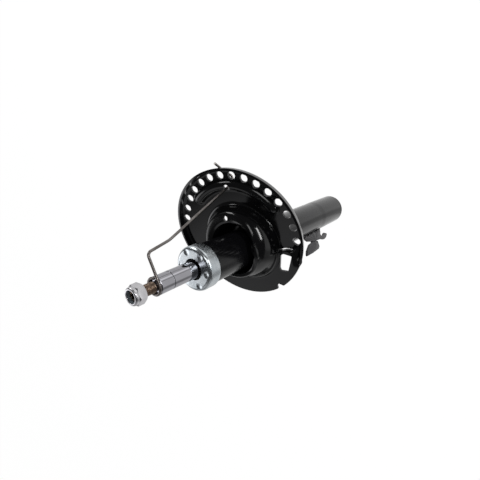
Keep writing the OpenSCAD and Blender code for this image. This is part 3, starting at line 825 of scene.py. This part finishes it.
# Plating: bright metal with a paler and a deeper bloom, fine scratches and small pits
def plated(name, pale, deep, low, high, scratch):
    made = material(name, pale, 1.0, (low + high) / 2)
    tree = made.node_tree
    bloom = placed(tree, GRAIN, Scale=95.0, Low=0.0, High=1.0)
    roughness = placed(tree, GRAIN, Scale=170.0, Low=low, High=high)
    pits = placed(tree, COAT, Peel=scratch, Specks=scratch)
    edges = placed(tree, RUB, Width=0.0004, Amount=0.7)
    tone = blend_colour(tree, bloom, pale, deep)
    base = blend_colour(tree, edges, tone, scaled(pale, 1.15))
    return finished(made, base, roughness, pits, 0.00004)


zinc = plated("cap_zinc_plate", (0.80, 0.84, 0.86), (0.62, 0.68, 0.72), low=0.20, high=0.32,
              scratch=0.30)
dress(cap, zinc, "tube", "top_cap", slot="zinc_plate")

# ---------------------------------------------------------------- piston rod
# The rod is ground and hard chromed, with a fine groove near its end. It is turned down
# to the piston pin below and to the stud above.

rod_section = section_of([
    (0, 93, 0), (5, 93, 0), (6, 94, 0), (6, 122.2, 0), (9, 122.2, 0), (10, 123.2, 0.3),
    (10, 200, 0), (10, 280, 0), (10, 360, 0), (10, 409.1, 0.1), (9.5, 409.4, 0.1),
    (9.5, 410.2, 0.1), (10, 410.5, 0.1), (10, 425.9, 0.4), (9.1, 426.8, 0.3), (5.2, 426.8, 0.2),
    (5.1, 427.8, 0.2), (5.3, 428.6, 0), (0, 428.6, 0)
])
rod = turned("rod_chromed", rod_section, 160, closed=False)


# Ground finish: faint rings round the axis over a nearly mirror surface
def ring_group():
    group, given, place = group_of("ground_rings", "Height", "Pitch")
    squeezed = finish_step(group, "Mapping", {"Vector": place, "Scale": (0.02, 0.02, 1.0)})
    noise = finish_step(group, "TexNoise", {
        "Vector": squeezed.outputs["Vector"], "Scale": given["Pitch"], "Detail": 5})
    return give_out(group, noise.outputs["Fac"])


RINGS = ring_group()


def ground_metal(name, colour, deep, low, high, pitch, depth):
    made = material(name, colour, 1.0, (low + high) / 2)
    tree = made.node_tree
    rings = placed(tree, RINGS, Pitch=pitch)
    roughness = placed(tree, GRAIN, Scale=60.0, Low=low, High=high)
    film = placed(tree, GRAIN, Scale=45.0, Low=0.0, High=1.0)
    return finished(made, blend_colour(tree, film, colour, deep), roughness, rings, depth)


chrome = ground_metal("rod_hard_chrome", (0.54, 0.54, 0.58), (0.46, 0.45, 0.48), low=0.05,
                      high=0.10, pitch=2600.0, depth=0.0000012)
dress(rod, chrome, "rod", "piston_rod", slot="hard_chrome")

# ---------------------------------------------------------------- threaded stud
# The rod's end carries a rolled M12 fine thread and a hexagon socket to hold the rod by.
# It is zinc-phosphated brown and oiled.

PITCH, STUD_R, THREAD_DEPTH = 1.25, 5.95, 0.72
CREST_LOW, STUD_END = 430.6, 453.4
# Shares of half a pitch that the thread's root and its flank take up
ROOT_SHARE, FLANK_SHARE = 0.12, 0.70
# The thread fades in and out over these lengths, and its end has a chamfer
FADE_IN, FADE_OUT, CHAMFER_LENGTH, CHAMFER_SLOPE = 1.0, 0.9, 1.5, 0.55
STUD_SIDES, ROWS_PER_PITCH = 72, 9
SOCKET_CORNER_R, SOCKET_DEPTH = 3.46, 7


def thread_radius(angle, z):
    phase = (z / PITCH - angle / (2 * math.pi)) % 1
    tooth = 1 - abs(2 * phase - 1)
    tooth = limited((tooth - ROOT_SHARE) / FLANK_SHARE)
    fade = limited((z - CREST_LOW) / FADE_IN) * limited((STUD_END - 0.5 - z) / FADE_OUT)
    return STUD_R - THREAD_DEPTH * (1 - tooth) * fade


thread_lines = []
for i in range(STUD_SIDES):
    a = 2 * math.pi * i / STUD_SIDES
    course = [(5.05, 427.9), (5.05, 428.4), (5.6, 429.0), (5.9, 429.6)]
    z = CREST_LOW - 0.4
    while z < STUD_END - 0.75:
        chamfer_r = STUD_R - max(0, z - (STUD_END - CHAMFER_LENGTH)) * CHAMFER_SLOPE
        course.append((min(thread_radius(a, z), chamfer_r), z))
        z += PITCH / ROWS_PER_PITCH
    course += [(5.25, STUD_END - 0.45), (4.8, STUD_END - 0.05), (4.4, STUD_END),
               (3.9, STUD_END)]
    thread_lines.append([Vector((r * math.cos(a), r * math.sin(a), z)) for r, z in course])
stud = wrapped("stud_thread", thread_lines)
bpy.ops.object.mode_set(mode="EDIT")
bpy.ops.mesh.select_all(action="SELECT")
bpy.ops.mesh.select_non_manifold()
bpy.ops.mesh.fill_holes(sides=0)
bpy.ops.object.mode_set(mode="OBJECT")
faces_outwards()
socket = [around(SOCKET_CORNER_R, 60 * k) for k in range(6)]
cut(stud, block("punch", socket, STUD_END - SOCKET_DEPTH, STUD_END + 2))
smooth(stud, 50)
phosphate = plated("stud_phosphate_brown", (0.42, 0.32, 0.25), (0.26, 0.20, 0.155), low=0.28,
                   high=0.42, scratch=0.4)
dress(stud, phosphate, "rod", slot="phosphate_steel")

# ---------------------------------------------------------------- lock nut
# A 19 mm hexagon nut with a round collar that is crimped over its locking ring. It is
# cold formed, chamfered on both ends and zinc plated.

NUT_LOW, HEX_TOP, NUT_TOP = 444.3, 453.5, 456.8
ACROSS_FLATS, COLLAR_R, MOUTH_LIP_R = 19.0, 9.35, 6.6
THREAD_BORE, RING_BORE, MOUTH_BORE = 12.08, 14.6, 13.2
hex_r = ACROSS_FLATS / 2 / math.cos(math.radians(30))
hexagon = block("lock_nut", [around(hex_r, 60 * k) for k in range(6)], NUT_LOW, HEX_TOP)
chamfer = turned("chamfer_tool", section_of([
    (0, NUT_LOW, 0), (9.2, NUT_LOW, 0), (hex_r + 0.3, NUT_LOW + 1.25, 0),
    (hex_r + 0.3, HEX_TOP - 1.5, 0), (9.0, HEX_TOP, 0), (0, HEX_TOP, 0)
]), 120, closed=False)
cut(hexagon, chamfer, "INTERSECT")
collar = turned("nut_collar", section_of([
    (0, HEX_TOP - 1.5, 0), (COLLAR_R, HEX_TOP - 1.5, 0), (COLLAR_R, HEX_TOP + 0.4, 0.4),
    (9.2, NUT_TOP, 2.0), (MOUTH_LIP_R, NUT_TOP, 0.5), (MOUTH_LIP_R, NUT_TOP - 0.7, 0),
    (0, NUT_TOP - 0.7, 0)
]), 120, closed=False)
cut(hexagon, collar, "UNION")
for bore, low, high in ((THREAD_BORE, NUT_LOW - 1, NUT_TOP + 1),
                        (RING_BORE, HEX_TOP - 0.6, NUT_TOP - 0.75),
                        (MOUTH_BORE, NUT_TOP - 1.2, NUT_TOP + 1)):
    cut(hexagon, punch(0, 0, bore, low, high, 96))
break_edges(hexagon, 0.22, 2, 28)
smooth(hexagon, 30)
nut_zinc = plated("nut_zinc_plate", (0.90, 0.89, 0.91), (0.74, 0.73, 0.76), low=0.24,
                  high=0.36, scratch=0.3)
dress(hexagon, nut_zinc, "nut", "top_nut", slot="zinc_plate")

# ---------------------------------------------------------------- locking ring
# A ring of pale blue-grey plastic sits in the nut's collar and grips the thread.

lock_plastic = plain_finish("lock_ring_plastic", (0.30, 0.36, 0.40), low=0.35, high=0.5,
                            speck=0.6, metallic=0.0)
finish_node("nut_insert", lock_plastic)

# ---------------------------------------------------------------- restraint wire
# A drawn steel wire holds the rod in for shipping: an eye round the stud, a straight
# leg through a hole in the seat, and a hook under the rim. It is bare and a little brown.

WIRE_R, EYE_R, EYE_Z = 1.5, 8.75, 428.4
LEG_BEARING = -18.7
EYE_FROM, EYE_TO = -390, -90
route = [Vector((*around(EYE_R, a), EYE_Z)) for a in range(EYE_FROM, EYE_TO, 6)]


# A point in the upright plane that the leg lies in, at a distance from the strut's axis
def in_leg(r, z, radius):
    return (*around(r, LEG_BEARING), z, radius)


route += rounded([
    (0, -EYE_R, EYE_Z, 0), (8, -EYE_R, EYE_Z, 3), in_leg(34.8, 430.2, 5), in_leg(40.2, 401, 28),
    in_leg(83.6, 291.3, 5), in_leg(91.5, 287.9, 5), (98.5, -24.7, 296.5, 4),
    (106.0, -28.6, 310.6, 0)
], 8)
nothing_selected()
bpy.ops.curve.primitive_nurbs_path_add()
strand = named("restraint_wire_bent")
strand.data.splines.clear()
spline = strand.data.splines.new("POLY")
spline.points.add(len(route) - 1)
for point, p in zip(spline.points, route):
    point.co = (*(p * MM), 1)
strand.data.dimensions = "3D"
strand.data.twist_mode = "MINIMUM"
strand.data.bevel_depth = WIRE_R * MM
strand.data.bevel_resolution = 6
strand.data.use_fill_caps = True
only(strand)
bpy.ops.object.convert(target="MESH")
wire = named("restraint_wire_bent")
faces_outwards(MERGE)
smooth(wire, 40)
wire_steel = plated("wire_drawn_steel", (0.36, 0.335, 0.32), (0.17, 0.15, 0.14), low=0.25,
                    high=0.45, scratch=1.4)
dress(wire, wire_steel, "wire", "restraint_wire", slot="wire_steel")

# ---------------------------------------------------------------- floor, light and camera
# The strut stands on white paper in a dim room with five pale panels and three soft
# lamps, so that the black paint and the chrome show their shape by reflections.

PAPER_WHITE, PAPER_GLOW_SHARE, ROOM_GLOW = 1.06, 0.93, 0.05


def soft_range(tree, value, start, end, low, high):
    return finish_step(tree, "MapRange", {
        "Value": value, "From Min": start, "From Max": end, "To Min": low, "To Max": high
    }, interpolation_type="SMOOTHSTEP").outputs["Result"]


# The paper lies just below the strut's end, so that the two never share a plane
nothing_selected()
bpy.ops.mesh.primitive_plane_add(size=30, location=(0, 0, -0.0003))
ground = named("studio_floor")
paper = material("studio_paper", (0.86, 0.86, 0.86), 0.0, 0.9)
tree = paper.node_tree
ray = finish_step(tree, "LightPath", {}).outputs
spot = finish_step(tree, "TexCoord", {}).outputs["Object"]
apart = finish_step(tree, "SeparateXYZ", {"Vector": spot}).outputs
far = finish_step(tree, "VectorMath", {0: spot}, operation="LENGTH").outputs["Value"]
bearing = reckoned(tree, "ARCTAN2", apart["Y"], apart["X"])
# In reflections the paper glows, and that glow is painted: it falls off away from the strut and
# has paler and darker stripes that run out from it, painted reflections for the chrome and the
# zinc. Each has a bearing, a half width, and a gain far out and close by
level = soft_range(tree, far, 0.14, 0.42, 1.0, 0.60)
far_out = soft_range(tree, far, 0.16, 0.27, 0.0, 1.0)
for centre, half, far_gain, near_gain in (
    (-0.80, 0.22, 0.5, 0.0), (-1.16, 0.09, -0.30, 0.0), (-2.68, 0.42, -0.34, 0.0),
    (-2.02, 0.42, 0.0, -0.38)
):
    off = reckoned(tree, "ABSOLUTE", reckoned(tree, "ADD", bearing, -centre))
    stripe = soft_range(tree, off, half * 0.3, half, 1, 0)
    gain = finish_step(tree, "MapRange", {
        "Value": far_out, "To Min": near_gain, "To Max": far_gain}).outputs["Result"]
    level = reckoned(tree, "ADD", reckoned(tree, "MULTIPLY", stripe, gain), level)
# The stripes and the fall-off above are painted reflections, seen only in glossy rays
# The camera sees it plain white. Soft light from it stays that of paper
strength = finish_step(tree, "Mix", {
    "Factor": ray["Is Camera Ray"], "A": level, "B": PAPER_WHITE}).outputs["Result"]
glow = finish_step(tree, "Emission", {"Color": (1, 1, 1, 1), "Strength": strength})
seen = reckoned(tree, "ADD", ray["Is Camera Ray"], ray["Is Glossy Ray"], use_clamp=True)
mixed = finish_step(tree, "MixShader", {
    "Fac": reckoned(tree, "MULTIPLY", seen, PAPER_GLOW_SHARE),
    1: tree.nodes["Principled BSDF"].outputs["BSDF"], 2: glow.outputs["Emission"]})
tree.links.new(mixed.outputs["Shader"], tree.nodes["Material Output"].inputs["Surface"])
ground.data.materials.append(paper)

world = bpy.data.worlds.new("studio_sky")
bpy.context.scene.world = world
world.use_nodes = True
tree = world.node_tree
tree.nodes.clear()
way = finish_step(tree, "TexCoord", {}).outputs["Generated"]
# Each panel has the direction that it lies in, the cosines of the angles from there at
# which it ends and is full, and its brightness
light = ROOM_GLOW
for aim, edge, full, bright in (
    ((-0.60, 0.62, 0.505), 0.930, 0.972, 0.36), ((0.03, 0.885, 0.465), 0.953, 0.962, 1.10),
    ((0.0, 0.976, 0.22), 0.880, 0.955, 0.42), ((0.94, 0.30, 0.16), 0.900, 0.960, 0.30),
    ((-0.97, 0.10, 0.22), 0.900, 0.960, 0.30)
):
    nearness = finish_step(tree, "VectorMath", {0: way, 1: aim}, operation="DOT_PRODUCT")
    panel = soft_range(tree, nearness.outputs["Value"], edge, full, 0.0, bright)
    light = reckoned(tree, "ADD", panel, light)
sky = finish_step(tree, "Background", {"Color": (0.98, 0.98, 1.0, 1), "Strength": light})
white = finish_step(tree, "Background", {"Color": (1, 1, 1, 1), "Strength": 1.0})
either = finish_step(tree, "MixShader", {
    "Fac": finish_step(tree, "LightPath", {}).outputs["Is Camera Ray"],
    1: sky.outputs["Background"], 2: white.outputs["Background"]})
finish_step(tree, "OutputWorld", {"Surface": either.outputs["Shader"]})


# A soft lamp at a place, turned to a point, with its width and height and its watts
def softbox(name, place, aim, size, power):
    lamp = bpy.data.lights.new(name, "AREA")
    lamp.shape = "RECTANGLE"
    lamp.size, lamp.size_y = size
    lamp.energy = power
    made = bpy.data.objects.new(name, lamp)
    bpy.context.collection.objects.link(made)
    made.location = place
    made.rotation_euler = (Vector(aim) - Vector(place)).to_track_quat("-Z", "Y").to_euler()


softbox("softbox_over", (0.5, -1.3, 1.9), (0, 0, 0.25), (1.0, 0.8), 6)
softbox("softbox_side", (-0.06, -1.3, 0.545), (0.01, 0, 0.29), (0.8, 0.13), 3.6)
softbox("softbox_back", (1.2, 0.3, 0.9), (0, 0, 0.28), (0.4, 0.7), 3)

# The camera looks down at the stud's end. Its own axes are given in the strut's frame
viewer = bpy.data.cameras.new("viewer")
viewer.lens = 26.4
viewer.sensor_width = 36
viewer.clip_start = 0.01
viewer.clip_end = 60
eye = bpy.data.objects.new("viewer", viewer)
bpy.context.collection.objects.link(eye)
right = Vector((-0.34683, -0.72403, -0.59623))
up = Vector((0.93740, -0.24632, -0.24617))
back = Vector((0.03137, -0.64428, 0.76414))
turn = Matrix((right, up, back)).transposed().to_4x4()
eye.matrix_world = Matrix.Translation((0.02455, -0.29358, 0.63017)) @ turn
bpy.context.scene.camera = eye
bpy.context.scene.view_settings.view_transform = "Standard"
